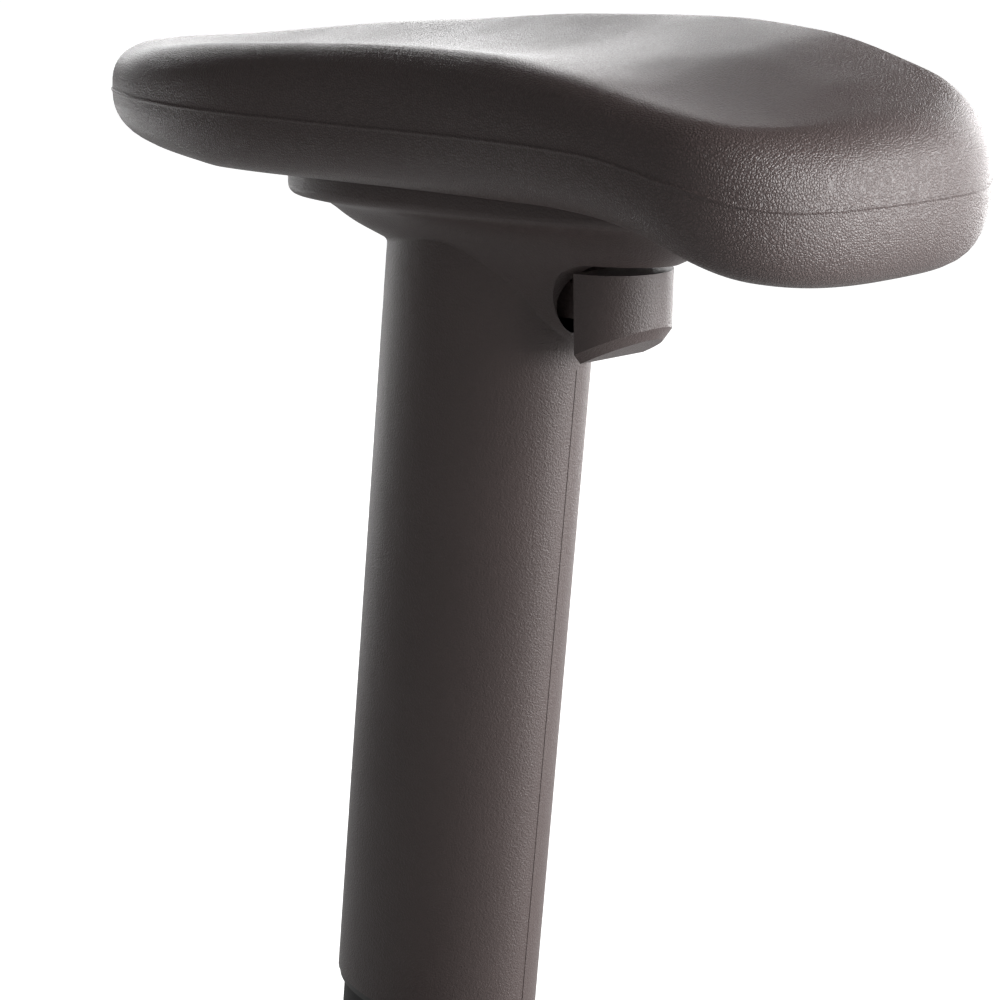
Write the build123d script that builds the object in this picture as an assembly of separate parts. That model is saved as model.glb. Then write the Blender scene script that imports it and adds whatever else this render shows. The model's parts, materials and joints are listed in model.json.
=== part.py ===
from build123d import *
import math
import os

# Height-adjustable chair armrest: padded arm, flared plastic sleeve with a release
# lever, and a notched steel upright on a slotted seat plate.
# Millimetres. +X is forward on the chair, +Y outboard, +Z up.
# The origin is the centre of the seat plate's two slots, on the plate's top face.

# ---------------------------------------------------------------- placement
LEAN = 6.0                      # forward lean of the column, degrees
COLUMN_Y = 95.0                 # column axis, outboard of the slots
FLANGE_Z = 250.0                # underside edge of the flange above the plate
FLANGE_X = FLANGE_Z * math.tan(math.radians(LEAN))
DECK = Pos(FLANGE_X, COLUMN_Y, FLANGE_Z)      # level frame at the flange centre
COLUMN = DECK * Rot(0, LEAN, 0)               # same centre, Z along the column
CLEAR = 0.3                     # gap between bodies that slide past each other

# ---------------------------------------------------------------- sleeve and flange
SLEEVE_A = 31.0                 # outer half-length of the column's ellipse, along X
SLEEVE_B = 20.0                 # outer half-width, along Y
SLEEVE_WALL = 3.0
SLEEVE_BOTTOM = -215.0          # along the column, below the flange
RIM_TOP = 4.7                   # flange rim height, where the pad rests
RIM_EDGE_ROUND = 2.5            # round between the rim and the flare
COLUMN_CREASE_ROUND = 1.5       # round where the flare meets the column
RIM_REAR = 60.0
RIM_FRONT = 84.0
RIM_SIDE = 34.0
REAR_SQUARENESS = 2.6           # superellipse exponent of the flange's rear half

# flare sections: depth below the flange, then rear, side and front reach
FLARE = [
    (0.0, 60.0, 34.0, 84.0),
    (3.0, 54.5, 28.2, 77.5),
    (6.0, 48.8, 22.8, 71.0),
    (9.5, 41.5, 20.2, 63.5),
    (14.0, 32.0, 18.0, 53.5),
    (19.0, 26.0, 15.4, 44.5),
    (25.0, 21.5, 13.4, 36.5),
    (31.0, 17.5, 10.6, 30.5),
    (37.0, 13.0, 6.0, 26.0),
]
PARTING_PROUD = 0.12            # moulding line on the column's front
PARTING_WIDTH = 0.5

LEVER_HOLE_R = 9.2
LEVER_HOLE_X = 39.0             # middle of the 30 mm bore cut for the lever
LEVER_HOLE_Z = -22.6
PADDLE_ROOF = -12.5             # the flare is cut level above the paddle
PADDLE_ROOM = (42.0, -26.6, 14.1)   # with a round back: centre X, Z and radius

# ---------------------------------------------------------------- pad
PAD_REAR = -128.0
PAD_FRONT = 124.5
PAD_REAR_TURN = -38.0           # where the rear plan curve starts
PAD_FRONT_TURN = 98.0           # where the front plan curve starts
PAD_HALF = 49.0                 # half-width of the pad at mid length
PAD_SEAM = 15.3                 # seam above the pad's underside
PAD_CREST = 34.0                # side crest above the underside
PAD_DISH = 3.5                  # depth of the arm hollow
DROOP_START = 52.0
DROOP_R = 125.0                 # radius of the bend that starts the droop
DROOP_BEND = 36.0               # length of that bend

# ---------------------------------------------------------------- pad fixing
INSERT = (-62.0, 52.0, 32.0, 8.0)       # rear, front, half-width, thickness
CARRIER = (-54.0, 47.0, 23.5, 3.0)
CARRIER_TOP = 4.5
CARRIER_CORNER = 15.0
CARRIER_BASE = CARRIER_TOP - CARRIER[3]
POCKET_GAP = 0.2
STUD_REAR = -36.0
STUD_FRONT = 30.0
STUD_Y = 13.0
STUD_R = 3.0
STUD_HEAD_R = 5.5
STUD_HEAD = 2.4
KEY_TRAVEL = 10.0               # slide between the keyhole's two ends
LOCK_X = -47.0
LOCK_R = 2.0
LOCK_SEAT = -2.4                # the lock screw's head bears here, in a counterbore
BUSH_WALL = 1.3
CARRIER_SCREW_X = (-8.0, 13.0)
CARRIER_SCREW_Y = 18.4
CARRIER_SCREW_R = 1.8
CARRIER_SCREW_DEEP = -4.6

# ---------------------------------------------------------------- upright and plate
BAR_REAR = -22.0                # bar section, in the column's frame
BAR_FRONT = 9.0
BAR_HALF = 4.0
BAR_TOP = -48.0
NOTCHES = 7
NOTCH_DEPTH = 5.2
TOOTH_Z = -134.0                # lock tooth centre at the lowest setting
TOOTH_THICK = 4.0
TRAVEL = 80.0
NOTCH_PITCH = TRAVEL / (NOTCHES - 1)
STOP_Z = -172.0                 # stop screw
STOP_R = 2.5
GROOVE_DEPTH = 3.5

SHOE = (-62.0, -44.0)           # glide shoe's ends, along the column
SHOE_FRONT = 2.5
SHOE_PIN_X = -10.0
SHOE_PIN_Z = -56.0
SHOE_PIN_R = 1.5

PLATE_THICK = 8.0
PLATE_HALF = 25.0
PLATE_INNER = -58.0
PLATE_OUTER = 121.0
SLOT_SPACING = 60.0
SLOT_LENGTH = 34.0
SLOT_R = 4.5
WELD_LEG = 5.0
BOOT_TOP = -217.3

# ---------------------------------------------------------------- lever
PIVOT_X = 22.0                  # pivot, in the column's frame
PIVOT_Z = -20.0
PIN_R = 2.0
PIN_HALF = 12.0
HUB_R = 4.6
LEVER_HALF = 4.5
TAIL = (13.0, 18.0)             # front-gap position of the tail, in the column's frame
TAIL_BOTTOM = -141.0
TOOTH_TIP = 5.0
HEEL_X = 1.0
SPRING_X = 5.0
SPRING_TOP = -21.0
SHELF_TOP = -34.0
SPRING_R = 2.9
SPRING_WIRE = 0.45
SPRING_TURNS = 5
PADDLE_X = 38.5                 # centre of the paddle's round face, in the level frame
PADDLE_TOP = -14.6
PADDLE_BOTTOM = -36.4           # below the paddle's centre
PADDLE_RISE = 25.0              # slope of its underside towards the nose, degrees
PADDLE_R_TOP = 14.3
PADDLE_R_BOTTOM = 13.6
PADDLE_WALL = 2.4
PADDLE_CHAMFER = 2.2


# ---------------------------------------------------------------- helpers
def block(x0, x1, half_y, z0, z1):
    """A box from x0 to x1 and z0 to z1, centred on Y."""
    return Pos((x0 + x1) / 2, 0, (z0 + z1) / 2) * Box(x1 - x0, 2 * half_y, z1 - z0)


def post(x, y, radius, z0, z1):
    """An upright cylinder."""
    return Pos(x, y, (z0 + z1) / 2) * Cylinder(radius, z1 - z0)


def cross_rod(x, z, radius, half_y):
    """A cylinder along Y."""
    return Pos(x, 0, z) * Rot(90, 0, 0) * Cylinder(radius, 2 * half_y)


def tube_section(a, b, z0, z1):
    """An elliptical prism between two heights."""
    return Pos(0, 0, z0) * extrude(Ellipse(a, b), amount=z1 - z0)


def rounded_slab(x0, x1, half_y, z0, z1, radius):
    """A flat slab with rounded corners."""
    outline = Pos((x0 + x1) / 2, 0, z0) * RectangleRounded(x1 - x0, 2 * half_y, radius)
    return extrude(outline, amount=z1 - z0)


def long_hole(x, y, length, radius, z0, z1, along_y=False):
    """A prism with round ends, length measured end to end."""
    turn = 90 if along_y else 0
    outline = Pos(x, y, z0) * Rot(0, 0, turn) * SlotOverall(length, 2 * radius)
    return extrude(outline, amount=z1 - z0)


def egg(rear, side, front, rear_power):
    """A closed outline, an ellipse in front and a superellipse behind."""
    points = []
    steps = 32
    for i in range(steps):
        t = 2 * math.pi * (i + 0.5) / steps
        c, s = math.cos(t), math.sin(t)
        power = 2.0 if c > 0 else rear_power
        reach = front if c > 0 else rear
        x = reach * math.copysign(abs(c) ** (2 / power), c)
        y = side * math.copysign(abs(s) ** (2 / power), s)
        points.append((x, y))
    return make_face(Spline(*points, periodic=True))


def droop(x):
    """How far the pad has dropped at x."""
    run = max(0.0, x - DROOP_START)
    bend = min(run, DROOP_BEND)
    return bend ** 2 / (2 * DROOP_R) + (run - bend) * DROOP_BEND / DROOP_R


def plan_half(x):
    """The pad's half-width at x."""
    if x < PAD_REAR_TURN:
        u = (PAD_REAR_TURN - x) / (PAD_REAR_TURN - PAD_REAR)
        return PAD_HALF * math.sqrt(max(0.0, 1 - u ** 2))
    if x > PAD_FRONT_TURN:
        u = (x - PAD_FRONT_TURN) / (PAD_FRONT - PAD_FRONT_TURN)
        return PAD_HALF * max(0.0, 1 - u ** 3) ** (1 / 3)
    return PAD_HALF


# ---------------------------------------------------------------- pad and its fixing
def pad_section(x, end_share):
    """One section across the pad; end_share shrinks it towards the tips."""
    half = plan_half(x)
    base = RIM_TOP - droop(x)
    middle = base + PAD_SEAM
    low = middle - (PAD_SEAM) * end_share
    crest = middle + (PAD_CREST - PAD_SEAM) * end_share
    dish = crest - PAD_DISH * end_share
    bottom = Line((x, -0.76 * half, low), (x, 0.76 * half, low))
    right = Spline(
        (x, 0.76 * half, low),
        (x, half, middle),
        (x, 0.70 * half, crest),
        tangents=[(0, 1, 0), (0, -1, 0)],
    )
    top = Spline(
        (x, 0.70 * half, crest),
        (x, 0, dish),
        (x, -0.70 * half, crest),
        tangents=[(0, -1, 0), (0, -1, 0)],
    )
    left = Spline(
        (x, -0.70 * half, crest),
        (x, -half, middle),
        (x, -0.76 * half, low),
        tangents=[(0, -1, 0), (0, 1, 0)],
    )
    return make_face([bottom, right, top, left])


def pad_outer():
    """The padded arm's outer form in the level frame."""
    stations = [
        (PAD_REAR + 1.5, 0.45),
        (PAD_REAR + 6, 0.74),
        (PAD_REAR + 16, 0.94),
        (PAD_REAR + 34, 1.0),
        (-60, 1.0),
        (-30, 1.0),
        (0, 1.0),
        (30, 1.0),
        (DROOP_START, 1.0),
        (77, 1.0),
        (PAD_FRONT_TURN, 1.0),
        (PAD_FRONT - 13, 0.93),
        (PAD_FRONT - 5, 0.76),
        (PAD_FRONT - 1.2, 0.48),
    ]
    return loft([pad_section(x, share) for x, share in stations])


def stud_places():
    """Plan positions of the four pad studs."""
    return [(x, y) for x in (STUD_REAR, STUD_FRONT) for y in (-STUD_Y, STUD_Y)]


def bush_places():
    """Plan position and bore of each threaded bush."""
    return [(x, y, STUD_R) for x, y in stud_places()] + [(LOCK_X, 0, LOCK_R)]


def insert_envelope():
    rear, front, half, thick = INSERT
    return rounded_slab(rear, front, half, RIM_TOP, RIM_TOP + thick, 10)


def arm_pad():
    rear, front, half, _ = INSERT
    land = block(rear, front, half + 10, 0, RIM_TOP)
    return DECK * (pad_outer() - land - insert_envelope())


def pad_insert():
    body = insert_envelope()
    for x, y, bore in bush_places():
        body -= post(x, y, bore + BUSH_WALL, RIM_TOP - 1, RIM_TOP + INSERT[3] + 1)
    return DECK * body


def threaded_bushes():
    bushes = []
    for x, y, bore in bush_places():
        shell = post(x, y, bore + BUSH_WALL, RIM_TOP, RIM_TOP + INSERT[3])
        bushes.append(DECK * (shell - post(x, y, bore, RIM_TOP - 1, RIM_TOP + INSERT[3] + 1)))
    return Compound(children=bushes)


def keyhole(x, y, z0, z1, neck, eye):
    """A keyhole whose eye lies forward of the stud's seat."""
    slot = long_hole(x + KEY_TRAVEL / 2, y, KEY_TRAVEL + 2 * neck, neck, z0, z1)
    return slot + post(x + KEY_TRAVEL, y, eye, z0, z1)


def carrier_screw_places():
    return [(x, y) for x in CARRIER_SCREW_X for y in (-CARRIER_SCREW_Y, CARRIER_SCREW_Y)]


def countersunk_screw(x, y, top, radius, tip):
    """A countersunk screw with a cross recess, head up."""
    head = Pos(x, y, top - radius / 2) * Cone(radius, 2 * radius, radius)
    recess = Pos(x, y, top) * (Box(2.4 * radius, 0.7, 1.6) + Box(0.7, 2.4 * radius, 1.6))
    return head + post(x, y, radius, tip, top - radius) - recess


def carrier_plate():
    rear, front, half, _ = CARRIER
    plate = rounded_slab(rear, front, half, CARRIER_BASE, CARRIER_TOP, CARRIER_CORNER)
    for x, y in stud_places():
        plate -= keyhole(x, y, CARRIER_BASE - 1, CARRIER_TOP + 1, STUD_R + 0.1, STUD_HEAD_R + 0.3)
    for x, y in carrier_screw_places():
        radius = CARRIER_SCREW_R
        plate -= post(x, y, radius, CARRIER_BASE - 1, CARRIER_TOP)
        plate -= Pos(x, y, CARRIER_TOP - radius / 2) * Cone(radius, 2 * radius, radius)
    plate -= post(LOCK_X, 0, LOCK_R + 0.2, CARRIER_BASE - 1, CARRIER_TOP + 1)
    return DECK * plate


def carrier_screws():
    screws = [
        DECK * countersunk_screw(x, y, CARRIER_TOP, CARRIER_SCREW_R, CARRIER_SCREW_DEEP)
        for x, y in carrier_screw_places()
    ]
    return Compound(children=screws)


def pad_studs():
    """Shouldered studs screwed up into the pad's bushes, heads under the carrier."""
    studs = []
    for x, y in stud_places():
        head_top = CARRIER_BASE - 0.1
        head = post(x, y, STUD_HEAD_R, head_top - STUD_HEAD, head_top)
        shank = post(x, y, STUD_R, head_top, RIM_TOP + INSERT[3] - 1)
        recess = Pos(x, y, head_top - STUD_HEAD) * extrude(RegularPolygon(2.0, 6), amount=1.5)
        studs.append(DECK * (head + shank - recess))
    return Compound(children=studs)


def lock_screw():
    head = post(LOCK_X, 0, 3.6, LOCK_SEAT - 2.4, LOCK_SEAT)
    shank = post(LOCK_X, 0, LOCK_R, LOCK_SEAT, RIM_TOP + INSERT[3] - 1.5)
    recess = Pos(LOCK_X, 0, LOCK_SEAT - 2.4) * extrude(RegularPolygon(1.6, 6), amount=1.5)
    return DECK * (head + shank - recess)


# ---------------------------------------------------------------- sleeve
def flare():
    """The flange's rim and the flare that runs down into the column."""
    rim = extrude(egg(RIM_REAR, RIM_SIDE, RIM_FRONT, REAR_SQUARENESS), amount=RIM_TOP)
    sections = []
    for depth, rear, side, front in FLARE:
        middle = (front - rear) / 2 if depth else 0.0
        power = REAR_SQUARENESS if depth < 12 else 2.0
        outline = egg(rear + middle, side, front - middle, power)
        sections.append(Pos(middle, 0, -depth) * outline)
    return rim, loft(sections)


def pivot_cheeks():
    """The two lugs inside the head that hold the lever's pin."""
    inner = LEVER_HALF + 0.5
    lug = block(PIVOT_X - 6, PIVOT_X + 3, SLEEVE_B, PIVOT_Z - 7, PIVOT_Z + 7)
    return lug - block(0, 40, inner, PIVOT_Z - 20, PIVOT_Z + 20)


def spring_shelf():
    shelf = block(HEEL_X - 3, HEEL_X + 9, SLEEVE_B, SHELF_TOP - 4, SHELF_TOP)
    return shelf + post(SPRING_X, 0, SPRING_R - SPRING_WIRE - 0.5, SHELF_TOP, SHELF_TOP + 4)


def stop_boss():
    return Pos(-(SLEEVE_A - 5), 0, STOP_Z) * Rot(0, 90, 0) * Cylinder(5, 6.2)


def stop_bore():
    return Pos(-SLEEVE_A, 0, STOP_Z) * Rot(0, 90, 0) * Cylinder(STOP_R, 30)


def sleeve():
    rim, cone = flare()
    tube = tube_section(SLEEVE_A, SLEEVE_B, SLEEVE_BOTTOM, 0)
    line = block(SLEEVE_A - 1, SLEEVE_A + PARTING_PROUD, PARTING_WIDTH / 2, SLEEVE_BOTTOM, -38)
    head = rim + cone
    rim_edge = [e for e in head.edges() if abs(e.center().Z) < 0.3 and e.length > 100]
    shell = DECK * fillet(rim_edge, RIM_EDGE_ROUND) + COLUMN * tube
    crease = [
        e
        for e in shell.edges()
        if 150 < e.length < 200
        and e.bounding_box().max.Z > FLANGE_Z - 20
        and e.bounding_box().min.Z > FLANGE_Z - 40
    ]
    shell = fillet(crease, COLUMN_CREASE_ROUND)
    shell += COLUMN * line
    cavity = tube_section(SLEEVE_A - SLEEVE_WALL, SLEEVE_B - SLEEVE_WALL, SLEEVE_BOTTOM - 1, 12)
    shell -= COLUMN * cavity
    inside = tube_section(SLEEVE_A - 1, SLEEVE_B - 1, SLEEVE_BOTTOM, 12)
    for lug in (pivot_cheeks(), spring_shelf(), stop_boss()):
        shell += COLUMN * (lug & inside)

    # the room for the lever, cut level above the paddle
    shell -= DECK * Pos(LEVER_HOLE_X, 0, LEVER_HOLE_Z) * Rot(0, 90, 0) * Cylinder(LEVER_HOLE_R, 30)
    room_x, room_z, room_r = PADDLE_ROOM
    shell -= DECK * block(room_x, RIM_FRONT + 5, 30, -60, PADDLE_ROOF)
    shell -= DECK * cross_rod(room_x, room_z, room_r, 30)
    shell -= DECK * block(room_x - room_r, room_x, 30, -60, room_z)

    # the pocket for the carrier plate, and what hangs below that plate
    rear, front, half, _ = CARRIER
    gap = POCKET_GAP
    pocket = rounded_slab(rear - gap, front + gap, half + gap, CARRIER_BASE, RIM_TOP + 1, CARRIER_CORNER)
    shell -= DECK * pocket
    for x, y in stud_places():
        low = CARRIER_BASE - STUD_HEAD - 0.6
        shell -= DECK * keyhole(x, y, low, RIM_TOP, STUD_HEAD_R + 0.3, STUD_HEAD_R + 0.5)
    for x, y in carrier_screw_places():
        shell -= DECK * post(x, y, CARRIER_SCREW_R, CARRIER_SCREW_DEEP, RIM_TOP)
    shell -= DECK * post(LOCK_X, 0, LOCK_R + 0.2, -20, RIM_TOP)
    shell -= DECK * post(LOCK_X, 0, 4.0, -20, LOCK_SEAT)

    shell -= COLUMN * cross_rod(PIVOT_X, PIVOT_Z, PIN_R, PIN_HALF)
    shell -= COLUMN * stop_bore()
    # the nose of the flange lies under the pad's drooping front
    return shell - DECK * pad_outer()


def sleeve_collar():
    """Guide bush in the sleeve's mouth, with a lip under the sleeve's end."""
    a, b = SLEEVE_A, SLEEVE_B
    plug = tube_section(a - SLEEVE_WALL, b - SLEEVE_WALL, SLEEVE_BOTTOM, SLEEVE_BOTTOM + 24)
    lip = tube_section(a - 0.6, b - 0.6, SLEEVE_BOTTOM - 2, SLEEVE_BOTTOM)
    bore = block(BAR_REAR - CLEAR, BAR_FRONT + CLEAR, BAR_HALF + CLEAR, -230, -180)
    return COLUMN * (plug + lip - bore)


def stop_screw():
    tip = BAR_REAR + GROOVE_DEPTH - 0.6
    length = tip + SLEEVE_A - 0.4
    screw = Pos(-SLEEVE_A + 0.4 + length / 2, 0, STOP_Z) * Rot(0, 90, 0) * Cylinder(STOP_R, length)
    socket = Pos(-SLEEVE_A, 0, STOP_Z) * Rot(0, 90, 0) * extrude(RegularPolygon(1.4, 6), amount=3)
    return COLUMN * (screw - socket)


# ---------------------------------------------------------------- release lever
def paddle_body(inset):
    """The paddle's full round body, every face set in by the same amount."""
    foot = PADDLE_BOTTOM - 8
    height = PADDLE_TOP - inset - foot
    cone = Cone(PADDLE_R_BOTTOM - inset, PADDLE_R_TOP - inset, height)
    body = Pos(PADDLE_X, 0, foot + height / 2) * cone
    below = Pos(0, 0, -20) * Box(80, 60, 40)
    body -= Pos(PADDLE_X, 0, PADDLE_BOTTOM + inset) * Rot(0, -PADDLE_RISE, 0) * below
    return chamfer(body.edges().sort_by(Axis.Z)[0], PADDLE_CHAMFER - inset / 2)


def paddle():
    """A cup, open to the rear, that a finger lifts from below."""
    cup = paddle_body(0) - paddle_body(PADDLE_WALL)
    return cup & block(PADDLE_X - 0.5, PADDLE_X + 30, 30, -60, 0)


def release_lever():
    hub = cross_rod(PIVOT_X, PIVOT_Z, HUB_R, LEVER_HALF)
    tail = block(TAIL[0], TAIL[1], LEVER_HALF, TAIL_BOTTOM, PIVOT_Z + 3)
    heel = block(HEEL_X, PIVOT_X, LEVER_HALF, SPRING_TOP, SPRING_TOP + 6)
    body = COLUMN * (hub + tail + heel)
    neck = block(20, PADDLE_X + 12.5, LEVER_HALF, -27.5, -18.5)
    body += DECK * (neck + paddle())
    body -= COLUMN * cross_rod(PIVOT_X, PIVOT_Z, PIN_R + 0.05, PIN_HALF)
    body -= COLUMN * tooth_blade()
    for z in rivet_heights():
        body -= COLUMN * rivet(z)
    return body


def rivet_heights():
    return (TOOTH_Z + 9, TOOTH_Z + 15)


def tooth_blade():
    """The steel lock tooth: a foot that enters a notch, on a strip let into the tail."""
    half_thick = TOOTH_THICK / 2
    foot = block(TOOTH_TIP, TAIL[0] + 2, LEVER_HALF - 0.5, TOOTH_Z - half_thick, TOOTH_Z + half_thick)
    strip = block(TAIL[0], TAIL[0] + 2, LEVER_HALF - 0.5, TOOTH_Z, TOOTH_Z + 19)
    return foot + strip


def rivet(z):
    """A rivet along X through the tail."""
    return Pos((TAIL[0] + TAIL[1]) / 2, 0, z) * Rot(0, 90, 0) * Cylinder(1.0, TAIL[1] - TAIL[0])


def lock_tooth():
    blade = tooth_blade()
    for z in rivet_heights():
        blade -= rivet(z)
    return COLUMN * blade


def tooth_rivets():
    return Compound(children=[COLUMN * rivet(z) for z in rivet_heights()])


def pivot_pin():
    return COLUMN * cross_rod(PIVOT_X, PIVOT_Z, PIN_R, PIN_HALF)


def return_spring():
    length = SPRING_TOP - SHELF_TOP - 2 * SPRING_WIRE
    radius = SPRING_R - SPRING_WIRE
    path = Helix(length / SPRING_TURNS, length, radius)
    wire = sweep(Plane(origin=path @ 0, z_dir=path % 0) * Circle(SPRING_WIRE), path=path)
    return COLUMN * Pos(SPRING_X, 0, SHELF_TOP + SPRING_WIRE) * wire


# ---------------------------------------------------------------- upright and seat plate
def notch(z):
    """One notch; its lower face falls away so that the tooth can swing out."""
    floor = BAR_FRONT - NOTCH_DEPTH
    half_thick = TOOTH_THICK / 2
    outline = Polyline(
        (floor, 0, z - half_thick - 0.1),
        (BAR_FRONT + 1, 0, z - half_thick - 1.0),
        (BAR_FRONT + 1, 0, z + half_thick + 0.5),
        (floor, 0, z + half_thick + 0.3),
        close=True,
    )
    return extrude(make_face(outline), amount=BAR_HALF + 1, both=True)


def upright_bar():
    bar = block(BAR_REAR, BAR_FRONT, BAR_HALF, -270, BAR_TOP)
    for i in range(NOTCHES):
        bar -= notch(TOOTH_Z + i * NOTCH_PITCH)
    low = STOP_Z - STOP_R - 0.4
    bar -= block(BAR_REAR - 1, BAR_REAR + GROOVE_DEPTH, BAR_HALF + 1, low, STOP_Z + STOP_R + 0.4 + TRAVEL)
    bar -= cross_rod(SHOE_PIN_X, SHOE_PIN_Z, SHOE_PIN_R, 30)
    above_plate = Pos(0, COLUMN_Y, 200) * Box(300, 100, 400)
    return (COLUMN * bar) & above_plate


def glide_shoe():
    """Plastic cap on the bar's top that runs inside the sleeve, open at the front."""
    a = SLEEVE_A - SLEEVE_WALL - CLEAR
    b = SLEEVE_B - SLEEVE_WALL - CLEAR
    shoe = tube_section(a, b, *SHOE) & block(-40, SHOE_FRONT, 30, -70, -40)
    shoe -= block(BAR_REAR, BAR_FRONT, BAR_HALF, -80, BAR_TOP)
    return COLUMN * (shoe - cross_rod(SHOE_PIN_X, SHOE_PIN_Z, SHOE_PIN_R, 30))


def shoe_pin():
    return COLUMN * cross_rod(SHOE_PIN_X, SHOE_PIN_Z, SHOE_PIN_R, SLEEVE_B - SLEEVE_WALL - 3)


def seat_plate():
    plate = extrude(
        Pos(0, (PLATE_INNER + PLATE_OUTER) / 2, -PLATE_THICK)
        * RectangleRounded(2 * PLATE_HALF, PLATE_OUTER - PLATE_INNER, 8),
        amount=PLATE_THICK,
    )
    for y in (-SLOT_SPACING / 2, SLOT_SPACING / 2):
        plate -= long_hole(0, y, SLOT_LENGTH, SLOT_R, -PLATE_THICK - 1, 1, along_y=True)
    return plate


def weld_beads():
    """Fillet welds along the bar's two broad faces."""
    beads = []
    for side in (-1, 1):
        face = COLUMN_Y + side * BAR_HALF
        outline = Polyline(
            (0, face, 0), (0, face + side * WELD_LEG, 0), (0, face, WELD_LEG), close=True
        )
        bead = extrude(make_face(outline), amount=13, both=True, dir=(1, 0, 0))
        beads.append(Pos((BAR_REAR + BAR_FRONT) / 2, 0, 0) * bead)
    return Compound(children=beads)


def foot_boot():
    """Rubber boot round the bar's foot; the sleeve comes down onto it."""
    a, b = SLEEVE_A - 2, SLEEVE_B - 2
    boot = tube_section(a, b, -262, BOOT_TOP)
    boot -= block(BAR_REAR - 2, BAR_FRONT + 2, BAR_HALF + WELD_LEG + 1, -280, BOOT_TOP - 8)
    boot -= block(BAR_REAR, BAR_FRONT, BAR_HALF, -280, BOOT_TOP + 1)
    return (COLUMN * boot) & (Pos(0, COLUMN_Y, 200) * Box(300, 100, 400))


PARTS = {
    "arm_pad": arm_pad,
    "pad_insert": pad_insert,
    "threaded_bushes": threaded_bushes,
    "pad_studs": pad_studs,
    "carrier_plate": carrier_plate,
    "carrier_screws": carrier_screws,
    "lock_screw": lock_screw,
    "sleeve": sleeve,
    "sleeve_collar": sleeve_collar,
    "stop_screw": stop_screw,
    "release_lever": release_lever,
    "lock_tooth": lock_tooth,
    "tooth_rivets": tooth_rivets,
    "pivot_pin": pivot_pin,
    "return_spring": return_spring,
    "upright_bar": upright_bar,
    "glide_shoe": glide_shoe,
    "shoe_pin": shoe_pin,
    "seat_plate": seat_plate,
    "weld_beads": weld_beads,
    "foot_boot": foot_boot,
}

os.makedirs("parts", exist_ok=True)
for name, make in PARTS.items():
    export_step(make(), f"parts/{name}.step")
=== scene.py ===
"""Looks for the height-adjustable chair armrest, built round its CAD frame."""
import json
import math

import bmesh
import bpy
from bpy.props import FloatProperty, FloatVectorProperty, IntProperty, PointerProperty
from mathutils import Matrix, Vector


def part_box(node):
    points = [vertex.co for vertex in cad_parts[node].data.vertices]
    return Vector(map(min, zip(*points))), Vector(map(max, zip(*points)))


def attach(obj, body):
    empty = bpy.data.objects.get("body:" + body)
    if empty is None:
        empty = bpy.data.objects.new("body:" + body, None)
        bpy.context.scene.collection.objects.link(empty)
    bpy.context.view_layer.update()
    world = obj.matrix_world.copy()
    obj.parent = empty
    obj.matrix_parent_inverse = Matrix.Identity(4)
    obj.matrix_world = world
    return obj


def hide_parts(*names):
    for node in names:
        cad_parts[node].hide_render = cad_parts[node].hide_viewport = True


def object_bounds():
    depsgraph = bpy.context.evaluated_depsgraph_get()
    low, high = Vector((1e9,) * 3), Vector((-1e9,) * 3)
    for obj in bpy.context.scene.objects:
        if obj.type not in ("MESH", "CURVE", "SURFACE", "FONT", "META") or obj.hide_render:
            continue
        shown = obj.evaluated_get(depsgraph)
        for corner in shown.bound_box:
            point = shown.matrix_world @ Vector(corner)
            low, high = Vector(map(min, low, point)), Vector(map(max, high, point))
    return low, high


bl_info = {
    "name": "Chair Armrest",
    "version": (1, 0, 0),
    "blender": (4, 5, 0),
    "location": "3D View > Sidebar > Armrest",
    "description": "Builds the armrest's padded skin, finishes its mouldings and metalwork, and lights it",
    "category": "Object",
}

MM = 0.001
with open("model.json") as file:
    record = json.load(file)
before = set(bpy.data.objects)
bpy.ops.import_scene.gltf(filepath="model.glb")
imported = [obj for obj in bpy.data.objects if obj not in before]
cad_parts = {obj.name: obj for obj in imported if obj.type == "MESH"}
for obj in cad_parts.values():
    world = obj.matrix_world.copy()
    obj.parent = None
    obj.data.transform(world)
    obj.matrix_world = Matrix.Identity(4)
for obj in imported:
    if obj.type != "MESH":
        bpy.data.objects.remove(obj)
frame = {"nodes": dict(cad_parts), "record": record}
CAD_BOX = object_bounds()

# ---------------------------------------------------------------- places
RIM_HEIGHT = 4.7 * MM           # the flange's rim, on which the pad rests
RIM_REAR = 60.0 * MM            # from the flange's centre to its rear edge


def deck_centre():
    """The flange's centre, level with the lower edge of its rim."""
    low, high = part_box("sleeve")
    rim_rear = min(v.co.x for v in frame["nodes"]["sleeve"].data.vertices if v.co.z > high.z - 1e-4)
    return Vector((rim_rear + RIM_REAR, (low.y + high.y) / 2, high.z - RIM_HEIGHT))


DECK = deck_centre()


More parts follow.
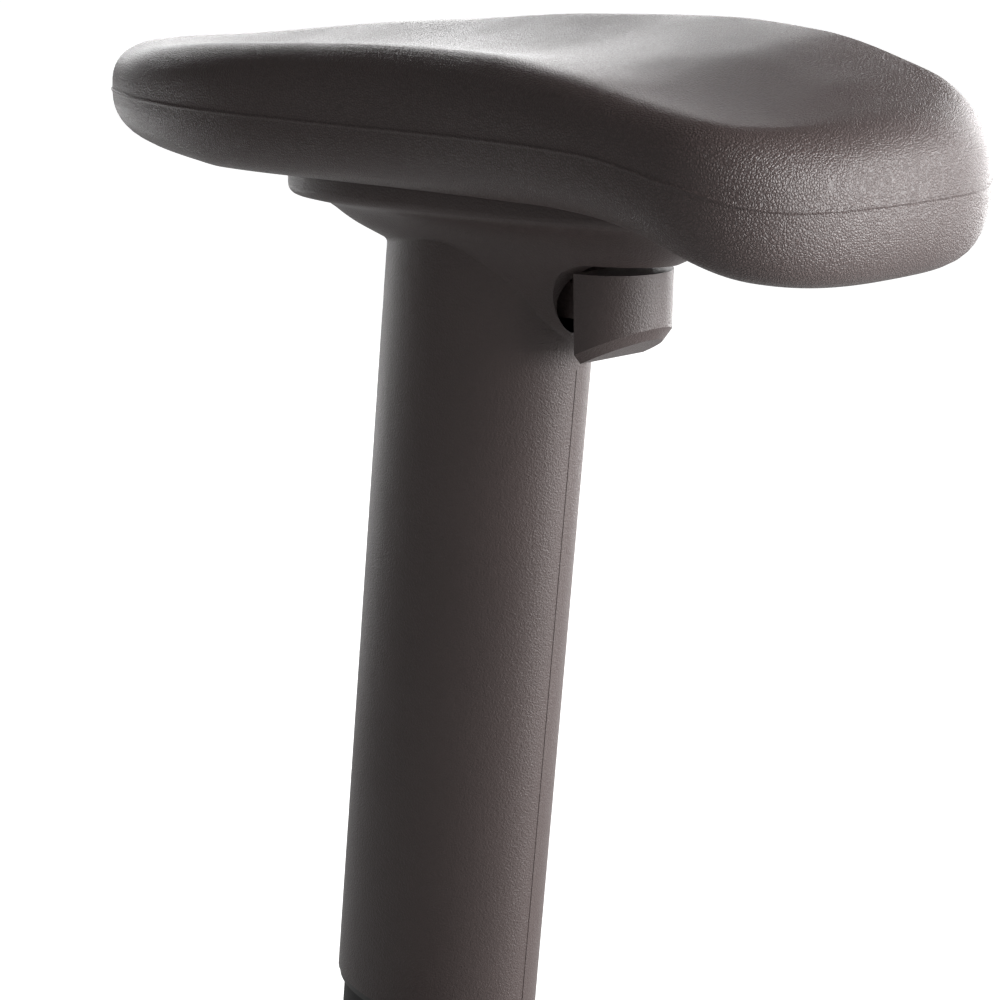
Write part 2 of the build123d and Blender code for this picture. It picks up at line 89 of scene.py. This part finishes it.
# ---------------------------------------------------------------- properties
class PadSizes(bpy.types.PropertyGroup):
    """Sizes of the moulded arm pad."""

    rear: FloatProperty(name="Rear reach", description="Pad length behind the flange's centre",
                        default=129.2 * MM, unit="LENGTH")
    front: FloatProperty(name="Front reach", description="Pad length ahead of the flange's centre",
                         default=127.0 * MM, unit="LENGTH")
    rear_half: FloatProperty(name="Rear half-width", description="Half-width behind the column",
                             default=47.8 * MM, unit="LENGTH")
    front_half: FloatProperty(name="Front half-width", description="Half-width ahead of the column",
                              default=52.0 * MM, unit="LENGTH")
    rear_turn: FloatProperty(name="Rear turn", description="Where the rear end's curve starts",
                             default=-38.0 * MM, unit="LENGTH")
    front_turn: FloatProperty(name="Front turn", description="Where the front end's curve starts",
                              default=92.0 * MM, unit="LENGTH")
    top_round: FloatProperty(name="Top round", description="Width of the round above the seam",
                             default=14.0 * MM, unit="LENGTH")
    under_round: FloatProperty(name="Under round", description="Width of the round below the seam",
                               default=13.0 * MM, unit="LENGTH")
    dish: FloatProperty(name="Arm hollow", description="Depth of the hollow the forearm lies in",
                        default=4.5 * MM, unit="LENGTH")
    bead: FloatProperty(name="Seam bead", description="How far the moulding seam stands proud",
                        default=0.28 * MM, unit="LENGTH")
    around: IntProperty(name="Divisions", description="Divisions round the pad's outline",
                        default=480, min=64, max=800)


class FinishColours(bpy.types.PropertyGroup):
    """Colours and grain of the finishes."""

    skin: FloatVectorProperty(name="Pad skin", description="Colour of the moulded skin",
                              default=(0.060, 0.043, 0.041), subtype="COLOR", min=0, max=1)
    moulding: FloatVectorProperty(name="Moulding", description="Colour of the sleeve and lever",
                                  default=(0.053, 0.038, 0.036), subtype="COLOR", min=0, max=1)
    steel: FloatVectorProperty(name="Plated steel", description="Colour of the plated steel",
                               default=(0.55, 0.54, 0.51), subtype="COLOR", min=0, max=1)
    pebble: FloatProperty(name="Pebble size", description="Size of one pebble of the skin's grain",
                          default=0.72 * MM, unit="LENGTH")
    spark: FloatProperty(name="Spark texture", description="Size of the mouldings' texture",
                         default=0.55 * MM, unit="LENGTH")


# ---------------------------------------------------------------- shared node work
def socket(group, name, kind, default=None, output=False):
    """One socket on a node group's interface."""
    made = group.interface.new_socket(name=name, in_out="OUTPUT" if output else "INPUT", socket_type=kind)
    if default is not None:
        made.default_value = default
    return made


def group_start(name, inputs, outputs):
    """A new shader node group with its two end nodes."""
    group = bpy.data.node_groups.new(name, "ShaderNodeTree")
    for label, kind, default in inputs:
        socket(group, label, kind, default)
    for label, kind in outputs:
        socket(group, label, kind, output=True)
    return group, group.nodes.new("NodeGroupInput"), group.nodes.new("NodeGroupOutput")


def math_node(tree, operation, a, b=None, clamp=False):
    """A Math node fed by sockets or plain numbers."""
    node = tree.nodes.new("ShaderNodeMath")
    node.operation = operation
    node.use_clamp = clamp
    for i, value in enumerate((a, b)):
        if value is None:
            continue
        if isinstance(value, (int, float)):
            node.inputs[i].default_value = value
        else:
            tree.links.new(value, node.inputs[i])
    return node.outputs[0]


def ramp(tree, value, low, high, out_low=0.0, out_high=1.0):
    """Maps a range of a value onto another, held at its ends."""
    node = tree.nodes.new("ShaderNodeMapRange")
    tree.links.new(value, node.inputs["Value"])
    node.inputs["From Min"].default_value = low
    node.inputs["From Max"].default_value = high
    node.inputs["To Min"].default_value = out_low
    node.inputs["To Max"].default_value = out_high
    return node.outputs[0]


def noise(tree, vector, scale, detail=3.0, roughness=0.55):
    """A noise value at a scale given as a number or a socket."""
    node = tree.nodes.new("ShaderNodeTexNoise")
    tree.links.new(vector, node.inputs["Vector"])
    if isinstance(scale, (int, float)):
        node.inputs["Scale"].default_value = scale
    else:
        tree.links.new(scale, node.inputs["Scale"])
    node.inputs["Detail"].default_value = detail
    node.inputs["Roughness"].default_value = roughness
    return node.outputs["Fac"]


def pebble_group():
    """Leather-like pebbles with fine creases between them."""
    group, start, end = group_start(
        "Pebble grain",
        [("Vector", "NodeSocketVector", None), ("Cells per metre", "NodeSocketFloat", 1000.0)],
        [("Height", "NodeSocketFloat"), ("Crease", "NodeSocketFloat")],
    )
    vector, scale = start.outputs["Vector"], start.outputs["Cells per metre"]
    warp = group.nodes.new("ShaderNodeTexNoise")
    group.links.new(vector, warp.inputs["Vector"])
    group.links.new(math_node(group, "MULTIPLY", scale, 0.6), warp.inputs["Scale"])
    push = group.nodes.new("ShaderNodeVectorMath")
    push.operation = "MULTIPLY_ADD"
    group.links.new(warp.outputs["Color"], push.inputs[0])
    push.inputs[1].default_value = (0.0006, 0.0006, 0.0006)
    group.links.new(vector, push.inputs[2])
    cells = group.nodes.new("ShaderNodeTexVoronoi")
    cells.feature = "DISTANCE_TO_EDGE"
    group.links.new(push.outputs[0], cells.inputs["Vector"])
    group.links.new(scale, cells.inputs["Scale"])
    crease = ramp(group, cells.outputs["Distance"], 0.02, 0.30)
    fine = noise(group, vector, math_node(group, "MULTIPLY", scale, 3.1), detail=2.0)
    height = math_node(group, "ADD", crease, math_node(group, "MULTIPLY", fine, 0.35))
    group.links.new(height, end.inputs["Height"])
    group.links.new(crease, end.inputs["Crease"])
    return group


def spark_group():
    """The fine matt texture of a spark-eroded mould."""
    group, start, end = group_start(
        "Spark texture",
        [("Vector", "NodeSocketVector", None), ("Grains per metre", "NodeSocketFloat", 2200.0)],
        [("Height", "NodeSocketFloat"), ("Mottle", "NodeSocketFloat")],
    )
    vector, scale = start.outputs["Vector"], start.outputs["Grains per metre"]
    coarse = noise(group, vector, scale, detail=2.0, roughness=0.6)
    fine = noise(group, vector, math_node(group, "MULTIPLY", scale, 2.7), detail=1.0)
    height = math_node(group, "ADD", coarse, math_node(group, "MULTIPLY", fine, 0.4))
    mottle = noise(group, vector, 22.0, detail=4.0)
    group.links.new(height, end.inputs["Height"])
    group.links.new(mottle, end.inputs["Mottle"])
    return group


def handling_group():
    """Slow patches where hands and sleeves have polished or dulled a surface."""
    group, start, end = group_start(
        "Handling wear",
        [("Vector", "NodeSocketVector", None), ("Patches per metre", "NodeSocketFloat", 14.0)],
        [("Mask", "NodeSocketFloat")],
    )
    broad = noise(group, start.outputs["Vector"], start.outputs["Patches per metre"], detail=5.0)
    group.links.new(ramp(group, broad, 0.38, 0.66), end.inputs["Mask"])
    return group


GROUPS = {}


def shared_group(name):
    """The named shared effect, made the first time it's asked for."""
    makers = {"pebble": pebble_group, "spark": spark_group, "handling": handling_group}
    if name not in GROUPS:
        GROUPS[name] = makers[name]()
    return GROUPS[name]


class Finish:
    """A material under construction, with the few moves each finish needs."""

    def __init__(self, name, colour, roughness, metallic=0.0):
        self.material = bpy.data.materials.new(name)
        self.material.use_nodes = True
        self.tree = self.material.node_tree
        self.shader = self.tree.nodes["Principled BSDF"]
        self.shader.inputs["Base Color"].default_value = (*colour, 1.0)
        self.shader.inputs["Roughness"].default_value = roughness
        self.shader.inputs["Metallic"].default_value = metallic
        self.colour = colour
        self.place = self.tree.nodes.new("ShaderNodeTexCoord").outputs["Object"]

    def group(self, name, **values):
        node = self.tree.nodes.new("ShaderNodeGroup")
        node.node_tree = shared_group(name)
        self.tree.links.new(self.place, node.inputs["Vector"])
        for label, value in values.items():
            node.inputs[label.replace("_", " ")].default_value = value
        return node

    def tint(self, mask, darker, lighter):
        """Runs the base colour between two multiples of itself."""
        mix = self.tree.nodes.new("ShaderNodeMix")
        mix.data_type = "RGBA"
        mix.inputs["A"].default_value = (*[c * darker for c in self.colour], 1.0)
        mix.inputs["B"].default_value = (*[c * lighter for c in self.colour], 1.0)
        self.tree.links.new(mask, mix.inputs["Factor"])
        self.tree.links.new(mix.outputs["Result"], self.shader.inputs["Base Color"])

    def rough(self, mask, low, high):
        self.tree.links.new(ramp(self.tree, mask, 0.0, 1.0, low, high), self.shader.inputs["Roughness"])

    def bump(self, height, distance, strength=1.0):
        node = self.tree.nodes.new("ShaderNodeBump")
        node.inputs["Distance"].default_value = distance
        node.inputs["Strength"].default_value = strength
        self.tree.links.new(height, node.inputs["Height"])
        self.tree.links.new(node.outputs["Normal"], self.shader.inputs["Normal"])


# ---------------------------------------------------------------- finishes
def skin_finish(looks):
    """Moulded polyurethane skin: fine pebbles, painted shade darkening the creases between them and lightening
    their tops, satin, a little polished by use.
    """
    finish = Finish("pad_skin", looks.skin, 0.5)
    grain = finish.group("pebble", Cells_per_metre=1.0 / looks.pebble)
    wear = finish.group("handling", Patches_per_metre=16.0)
    # painted shade: the skin's colour is darkened in the creases between pebbles and lightened on the pebble
    # tops
    finish.tint(grain.outputs["Crease"], 0.76, 1.17)
    mix = math_node(finish.tree, "MULTIPLY_ADD", grain.outputs["Crease"], -0.3)
    finish.rough(math_node(finish.tree, "ADD", mix, wear.outputs["Mask"], clamp=True), 0.52, 0.40)
    finish.bump(grain.outputs["Height"], 0.00013, 0.8)
    return finish.material


def moulding_finish(looks):
    """Charcoal nylon with a fine matt mould texture."""
    finish = Finish("moulded_black", looks.moulding, 0.45)
    spark = finish.group("spark", Grains_per_metre=1.0 / looks.spark)
    wear = finish.group("handling", Patches_per_metre=11.0)
    finish.tint(spark.outputs["Mottle"], 0.88, 1.12)
    finish.rough(wear.outputs["Mask"], 0.50, 0.40)
    finish.bump(spark.outputs["Height"], 0.00020, 0.9)
    return finish.material


def plain_plastic_finish(name, colour):
    """Inner plastic parts: even colour, light mould texture."""
    finish = Finish(name, colour, 0.45)
    spark = finish.group("spark", Grains_per_metre=1500.0)
    finish.tint(spark.outputs["Mottle"], 0.93, 1.07)
    finish.rough(spark.outputs["Mottle"], 0.38, 0.5)
    finish.bump(spark.outputs["Height"], 0.00004, 0.4)
    return finish.material


def metal_finish(name, colour, low, high, metallic=1.0, grains=1800.0):
    """Metal or a coat on metal, its gloss broken up by handling."""
    finish = Finish(name, colour, low, metallic)
    wear = finish.group("handling", Patches_per_metre=45.0)
    spark = finish.group("spark", Grains_per_metre=grains)
    finish.tint(wear.outputs["Mask"], 0.88, 1.06)
    finish.rough(wear.outputs["Mask"], low, high)
    finish.bump(spark.outputs["Height"], 0.00002, 0.35)
    return finish.material


def rubber_finish():
    """Matt black rubber."""
    finish = Finish("boot_rubber", (0.022, 0.022, 0.023), 0.75)
    spark = finish.group("spark", Grains_per_metre=1400.0)
    finish.tint(spark.outputs["Mottle"], 0.85, 1.2)
    finish.rough(spark.outputs["Mottle"], 0.65, 0.85)
    finish.bump(spark.outputs["Height"], 0.00006, 0.5)
    return finish.material


MADE = {}


def finish_for(slot, looks):
    """The material of a record slot, made once."""
    makers = {
        "pad_skin": lambda: skin_finish(looks),
        "moulded_black": lambda: moulding_finish(looks),
        "insert_plastic": lambda: plain_plastic_finish("insert_plastic", (0.05, 0.05, 0.05)),
        "glide_plastic": lambda: plain_plastic_finish("glide_plastic", (0.035, 0.034, 0.033)),
        "plated_steel": lambda: metal_finish("plated_steel", looks.steel, 0.28, 0.42),
        "painted_steel": lambda: metal_finish("painted_steel", (0.02, 0.02, 0.021), 0.36, 0.5, 0.0, 900.0),
        "spring_steel": lambda: metal_finish("spring_steel", (0.45, 0.45, 0.44), 0.22, 0.32),
        "bush_brass": lambda: metal_finish("bush_brass", (0.72, 0.52, 0.22), 0.25, 0.38),
        "boot_rubber": rubber_finish,
    }
    if slot not in MADE:
        MADE[slot] = makers[slot]()
    return MADE[slot]


def slot_of(node):
    """The record's material slot for a CAD node."""
    for part in frame["record"]["subparts"]:
        if part["node"] == node:
            return part["material_slot"]
    raise ValueError(f"the record has no part named {node}")


def dress_nodes(names, looks):
    """Gives CAD nodes the finish of their slot."""
    for name in names:
        node = frame["nodes"][name]
        node.data.materials.clear()
        node.data.materials.append(finish_for(slot_of(name), looks))


# ---------------------------------------------------------------- arm pad
# Heights over the flange's lower edge along the pad, in mm, each as (x, z).
SEAM = [(-128, 20.8), (-60, 20.2), (0, 19.7), (45, 19.6), (72, 18.7), (97, 14.4), (124, 8.8)]
INNER_CREST = [(-128, 32.5), (-92, 34.6), (-45, 37.1), (0, 38.7), (30, 38.1), (54, 35.6),
               (84, 30.2), (112, 25.2), (124, 23.0)]
OUTER_CREST = [(-128, 33.0), (-92, 36.8), (-45, 39.4), (0, 42.7), (40, 43.5), (69, 41.2),
               (98, 33.6), (124, 25.6)]
UNDERSIDE = [(-128, 9.5), (-100, 7.6), (-72, 5.6), (-58, 4.7), (50, 4.7), (66, 3.9), (82, 1.2),
             (97, -3.8), (110, -8.0), (124, -11.0)]
CREST_AT = 38.0 * MM            # the crests' distance from the middle line
NOSE_POWER = 2.5                # superellipse exponents: the nose in plan,
SHOULDER_POWER = 2.5            # the round above the seam,
SKIRT_POWER = 2.3               # and the round below it


def along(points, x):
    """A smooth height through a few points, in metres."""
    x = min(max(x / MM, points[0][0]), points[-1][0])
    last = len(points) - 2
    i = next((k for k in range(last + 1) if x <= points[k + 1][0]), last)

    def slope(k):
        if k in (0, len(points) - 1):
            return 0.0
        (x0, z0), (x1, z1), (x2, z2) = points[k - 1:k + 2]
        left, right = (z1 - z0) / (x1 - x0), (z2 - z1) / (x2 - x1)
        if left * right <= 0:
            return 0.0
        return ((x1 - x0) + (x2 - x1)) / ((x1 - x0) / right + (x2 - x1) / left)

    (xa, za), (xb, zb) = points[i], points[i + 1]
    span = xb - xa
    t = (x - xa) / span
    a = 2 * t ** 3 - 3 * t ** 2 + 1
    b = t ** 3 - 2 * t ** 2 + t
    c = 3 * t ** 2 - 2 * t ** 3
    d = t ** 3 - t ** 2
    return (a * za + b * span * slope(i) + c * zb + d * span * slope(i + 1)) * MM


def smooth(value, low, high):
    """Eases from 0 to 1 between two values."""
    t = min(max((value - low) / (high - low), 0.0), 1.0)
    return t * t * (3 - 2 * t)


class PadShape:
    """Turns places on a flat grid into places on the pad's surface."""

    def __init__(self, sizes):
        self.sizes = sizes
        self.outline = self.even_outline(sizes.around // 2)
        self.rows = self.profile()

    def half_width(self, x):
        s = self.sizes
        return s.rear_half + (s.front_half - s.rear_half) * smooth(x, 0.0, 90 * MM)

    def even_outline(self, count):
        """The inner half of the plan outline, rear tip to front tip, evenly spaced."""
        s = self.sizes
        rough = []
        steps = 400
        for i in range(steps + 1):
            angle = math.pi / 2 * i / steps
            x = s.rear_turn - (s.rear_turn + s.rear) * math.cos(angle)
            rough.append(Vector((x, -self.half_width(x) * math.sin(angle))))
        for i in range(1, steps):
            x = s.rear_turn + (s.front_turn - s.rear_turn) * i / steps
            rough.append(Vector((x, -self.half_width(x))))
        for i in range(steps + 1):
            angle = math.pi / 2 * i / steps
            x = s.front_turn + (s.front - s.front_turn) * math.sin(angle) ** (2 / NOSE_POWER)
            y = -self.half_width(x) * math.cos(angle) ** (2 / NOSE_POWER)
            rough.append(Vector((x, y)))
        lengths = [0.0]
        for a, b in zip(rough, rough[1:]):
            lengths.append(lengths[-1] + (b - a).length)
        even, k = [], 0
        for i in range(count + 1):
            want = lengths[-1] * i / count
            while k < len(lengths) - 2 and lengths[k + 1] < want:
                k += 1
            share = (want - lengths[k]) / max(lengths[k + 1] - lengths[k], 1e-9)
            even.append(rough[k].lerp(rough[k + 1], min(share, 1.0)))
        return even

    def profile(self):
        """What each row of the grid is, from the top's middle line to the underside's."""
        rows = [("top", i / 24) for i in range(24)]
        rows += [("shoulder", i / 12) for i in range(12)]
        rows += [("bead", k) for k in (0.75, 0.42, 0.24, -0.24, -0.42, -0.75)]
        rows += [("skirt", i / 11) for i in range(1, 12)]
        rows += [("under", i / 16) for i in range(1, 17)]
        return rows

    def rim(self, index):
        """A point of the outline and its outward direction in plan."""
        count = len(self.outline) - 1
        side = 1 if index <= count else -1
        k = index if index <= count else 2 * count - index
        point = self.outline[k]
        before, after = self.outline[max(k - 1, 0)], self.outline[min(k + 1, count)]
        run = (after - before).normalized()
        if k in (0, count):
            out = Vector((-1.0 if k == 0 else 1.0, 0.0))
        else:
            out = Vector((run.y, -run.x))
        return Vector((point.x, side * point.y)), Vector((out.x, side * out.y))

    def towards_middle(self, place, share):
        """A share of the way in to the middle line, which stops short of both tips."""
        return Vector((place.x * (1 - 0.2 * share), place.y * (1 - share)))

    def top_height(self, place):
        across = min(max(place.y / CREST_AT, -1.0), 1.0)
        inner, outer = along(INNER_CREST, place.x), along(OUTER_CREST, place.x)
        tilt = inner + (outer - inner) * (0.5 + 0.5 * math.sin(across * math.pi / 2))
        depth = self.sizes.dish * smooth(place.x, -122 * MM, -80 * MM) * (1 - smooth(place.x, 10 * MM, 85 * MM))
        crown = 1.5 * MM * smooth(place.x, 60 * MM, 105 * MM)
        return tilt + (crown - depth) * (1 - across * across) ** 1.5

    def surface(self, index, row):
        """The place on the pad for one grid vertex."""
        kind, share = self.rows[row]
        rim, out = self.rim(index)
        seam = along(SEAM, rim.x)
        s = self.sizes
        if kind == "bead":
            proud = s.bead if abs(share) < 0.3 else 0.0
            place = rim + out * proud
            return Vector((place.x, place.y, seam + share * MM))
        if kind in ("top", "shoulder"):
            if kind == "top":
                place = self.towards_middle(rim - out * s.top_round, 1 - share)
                return Vector((place.x, place.y, self.top_height(place)))
            angle = math.pi / 2 * (1 - share)
            depth = s.top_round * (1 - math.cos(angle) ** (2 / SHOULDER_POWER))
            rise = math.sin(angle) ** (2 / SHOULDER_POWER)
            place = rim - out * depth
            base = seam + 0.75 * MM
            return Vector((place.x, place.y, base + (self.top_height(place) - base) * rise))
        if kind == "skirt":
            angle = math.pi / 2 * share
            depth = s.under_round * (1 - math.cos(angle) ** (2 / SKIRT_POWER))
            fall = math.sin(angle) ** (2 / SKIRT_POWER)
            place = rim - out * depth
            base = seam - 0.75 * MM
            return Vector((place.x, place.y, base + (along(UNDERSIDE, place.x) - base) * fall))
        place = self.towards_middle(rim - out * s.under_round, share)
        return Vector((place.x, place.y, along(UNDERSIDE, place.x)))


def build_pad_mesh(sizes):
    """One grid wrapped round the pad, closed along both middle lines."""
    shape = PadShape(sizes)
    around, rows = 2 * (len(shape.outline) - 1), len(shape.rows) - 1
    bm = bmesh.new()
    bmesh.ops.create_grid(bm, x_segments=around, y_segments=rows, size=1.0)
    for vert in bm.verts:
        index = round((vert.co.x + 1) / 2 * around)
        row = round((vert.co.y + 1) / 2 * rows)
        vert.co = DECK + shape.surface(index, row)
    bmesh.ops.remove_doubles(bm, verts=bm.verts, dist=1e-6)
    bmesh.ops.dissolve_degenerate(bm, edges=bm.edges, dist=1e-6)
    bmesh.ops.recalc_face_normals(bm, faces=bm.faces)
    for face in bm.faces:
        face.smooth = True
    mesh = bpy.data.meshes.new("arm_pad_skin")
    bm.to_mesh(mesh)
    bm.free()
    return mesh


class ARMREST_OT_pad(bpy.types.Operator):
    """Build the moulded pad with its seam, and stand it for the plain pad solid"""

    bl_idname = "armrest.pad"
    bl_label = "Arm pad"

    def execute(self, context):
        mesh = build_pad_mesh(context.scene.armrest_pad)
        pad = bpy.data.objects.new("arm_pad_skin", mesh)
        context.scene.collection.objects.link(pad)
        mesh.materials.append(finish_for("pad_skin", context.scene.armrest_looks))
        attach(pad, "arm")
        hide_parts("arm_pad")
        return {"FINISHED"}


class ARMREST_OT_mouldings(bpy.types.Operator):
    """Finish the plastic sleeve, lever, collar and inner mouldings"""

    bl_idname = "armrest.mouldings"
    bl_label = "Mouldings"

    def execute(self, context):
        names = ("sleeve", "release_lever", "sleeve_collar", "glide_shoe", "pad_insert")
        dress_nodes(names, context.scene.armrest_looks)
        return {"FINISHED"}


class ARMREST_OT_metalwork(bpy.types.Operator):
    """Finish the upright, seat plate, lock parts, spring and fasteners"""

    bl_idname = "armrest.metalwork"
    bl_label = "Metalwork"

    def execute(self, context):
        names = (
            "upright_bar", "seat_plate", "weld_beads", "carrier_plate", "carrier_screws", "lock_screw",
            "pad_studs", "stop_screw", "lock_tooth", "tooth_rivets", "pivot_pin", "shoe_pin",
            "return_spring", "threaded_bushes",
        )
        dress_nodes(names, context.scene.armrest_looks)
        return {"FINISHED"}


class ARMREST_OT_boot(bpy.types.Operator):
    """Finish the rubber boot round the upright's foot"""

    bl_idname = "armrest.boot"
    bl_label = "Foot boot"

    def execute(self, context):
        dress_nodes(("foot_boot",), context.scene.armrest_looks)
        return {"FINISHED"}


# ---------------------------------------------------------------- stage
CAMERA_FROM_DECK = Vector((503.4, -541.1, 88.1)) * MM
CAMERA_RIGHT = Vector((0.7330, 0.6802, 0.0))
CAMERA_UP = Vector((-0.1488, 0.1603, 0.9758))
SENSOR = 36.0
FOCAL = 107.93


def aim(obj, target):
    """Points an object's -Z at a place."""
    direction = (target - obj.location).normalized()
    obj.rotation_euler = direction.to_track_quat("-Z", "Y").to_euler()


def softbox(name, azimuth, height, distance, width, tall, power):
    """A softbox at a bearing round the arm, in degrees from its front, aimed at the flange."""
    bearing = math.radians(azimuth)
    light = bpy.data.lights.new(name, "AREA")
    light.shape = "RECTANGLE"
    light.size, light.size_y = width, tall
    light.energy = power
    lamp = bpy.data.objects.new(name, light)
    bpy.context.scene.collection.objects.link(lamp)
    lamp.location = DECK + Vector((distance * math.cos(bearing), distance * math.sin(bearing), height))
    aim(lamp, DECK - Vector((0, 0, 0.04)))


def seen_or_lit(tree, seen, lit):
    """One strength for what the camera sees, another for what lights the parts."""
    path = tree.nodes.new("ShaderNodeLightPath")
    return ramp(tree, path.outputs["Is Camera Ray"], 0.0, 1.0, lit, seen)


def floor_material():
    """Pale seamless floor, bright enough to run into the backdrop."""
    finish = Finish("studio_floor", (0.30, 0.30, 0.30), 0.8)
    finish.shader.inputs["Emission Color"].default_value = (1.0, 1.0, 1.0, 1.0)
    glow = seen_or_lit(finish.tree, 1.0, 0.16)
    finish.tree.links.new(glow, finish.shader.inputs["Emission Strength"])
    return finish.material


class ARMREST_OT_stage(bpy.types.Operator):
    """Lay the pale floor and set the soft lights and the camera"""

    bl_idname = "armrest.stage"
    bl_label = "Stage"

    def execute(self, context):
        scene = context.scene
        bm = bmesh.new()
        bmesh.ops.create_grid(bm, x_segments=8, y_segments=8, size=30.0)
        bmesh.ops.translate(bm, verts=bm.verts, vec=(0, 0, CAD_BOX[0].z - 0.5 * MM))
        mesh = bpy.data.meshes.new("floor")
        bm.to_mesh(mesh)
        bm.free()
        mesh.materials.append(floor_material())
        floor = bpy.data.objects.new("floor", mesh)
        scene.collection.objects.link(floor)

        world = bpy.data.worlds.new("studio")
        world.use_nodes = True
        backdrop = world.node_tree.nodes["Background"]
        backdrop.inputs["Color"].default_value = (1.0, 1.0, 1.0, 1.0)
        glow = seen_or_lit(world.node_tree, 1.0, 0.13)
        world.node_tree.links.new(glow, backdrop.inputs["Strength"])
        scene.world = world

        softbox("left_strip", 170.0, -0.36, 1.1, 0.50, 0.5, 4.5)
        softbox("right", 28.0, 0.20, 1.1, 1.5, 0.8, 44)
        softbox("right_rim", 98.0, -0.05, 1.1, 0.40, 0.8, 8)
        softbox("behind", 144.0, 0.30, 1.25, 1.0, 0.4, 8)
        softbox("fill", -100.0, 0.7, 1.4, 0.9, 0.9, 2)

        data = bpy.data.cameras.new("camera")
        data.sensor_width = SENSOR
        data.lens = FOCAL
        data.clip_start, data.clip_end = 0.05, 100.0
        camera = bpy.data.objects.new("camera", data)
        scene.collection.objects.link(camera)
        back = CAMERA_RIGHT.cross(CAMERA_UP)
        turn = Matrix((CAMERA_RIGHT, CAMERA_UP, back)).transposed()
        camera.matrix_world = Matrix.Translation(DECK + CAMERA_FROM_DECK) @ turn.to_4x4()
        scene.camera = camera
        scene.view_settings.view_transform = "Standard"
        return {"FINISHED"}


class ARMREST_PT_panel(bpy.types.Panel):
    """The armrest's sizes, finishes and build steps"""

    bl_label = "Armrest"
    bl_idname = "ARMREST_PT_panel"
    bl_space_type = "VIEW_3D"
    bl_region_type = "UI"
    bl_category = "Armrest"

    def draw(self, context):
        layout = self.layout
        for group in (context.scene.armrest_pad, context.scene.armrest_looks):
            box = layout.box()
            for name in group.__annotations__:
                box.prop(group, name)
        for operator in OPERATORS:
            layout.operator(operator.bl_idname)


OPERATORS = (
    ARMREST_OT_stage,
    ARMREST_OT_pad,
    ARMREST_OT_mouldings,
    ARMREST_OT_metalwork,
    ARMREST_OT_boot,
)
CLASSES = (PadSizes, FinishColours, *OPERATORS, ARMREST_PT_panel)


def register():
    for cls in CLASSES:
        bpy.utils.register_class(cls)
    bpy.types.Scene.armrest_pad = PointerProperty(type=PadSizes)
    bpy.types.Scene.armrest_looks = PointerProperty(type=FinishColours)


def unregister():
    del bpy.types.Scene.armrest_looks
    del bpy.types.Scene.armrest_pad
    for cls in reversed(CLASSES):
        bpy.utils.unregister_class(cls)


def main():
    register()
    bpy.ops.armrest.stage()
    bpy.ops.armrest.pad()
    bpy.ops.armrest.mouldings()
    bpy.ops.armrest.metalwork()
    bpy.ops.armrest.boot()


if __name__ == "__main__":
    main()
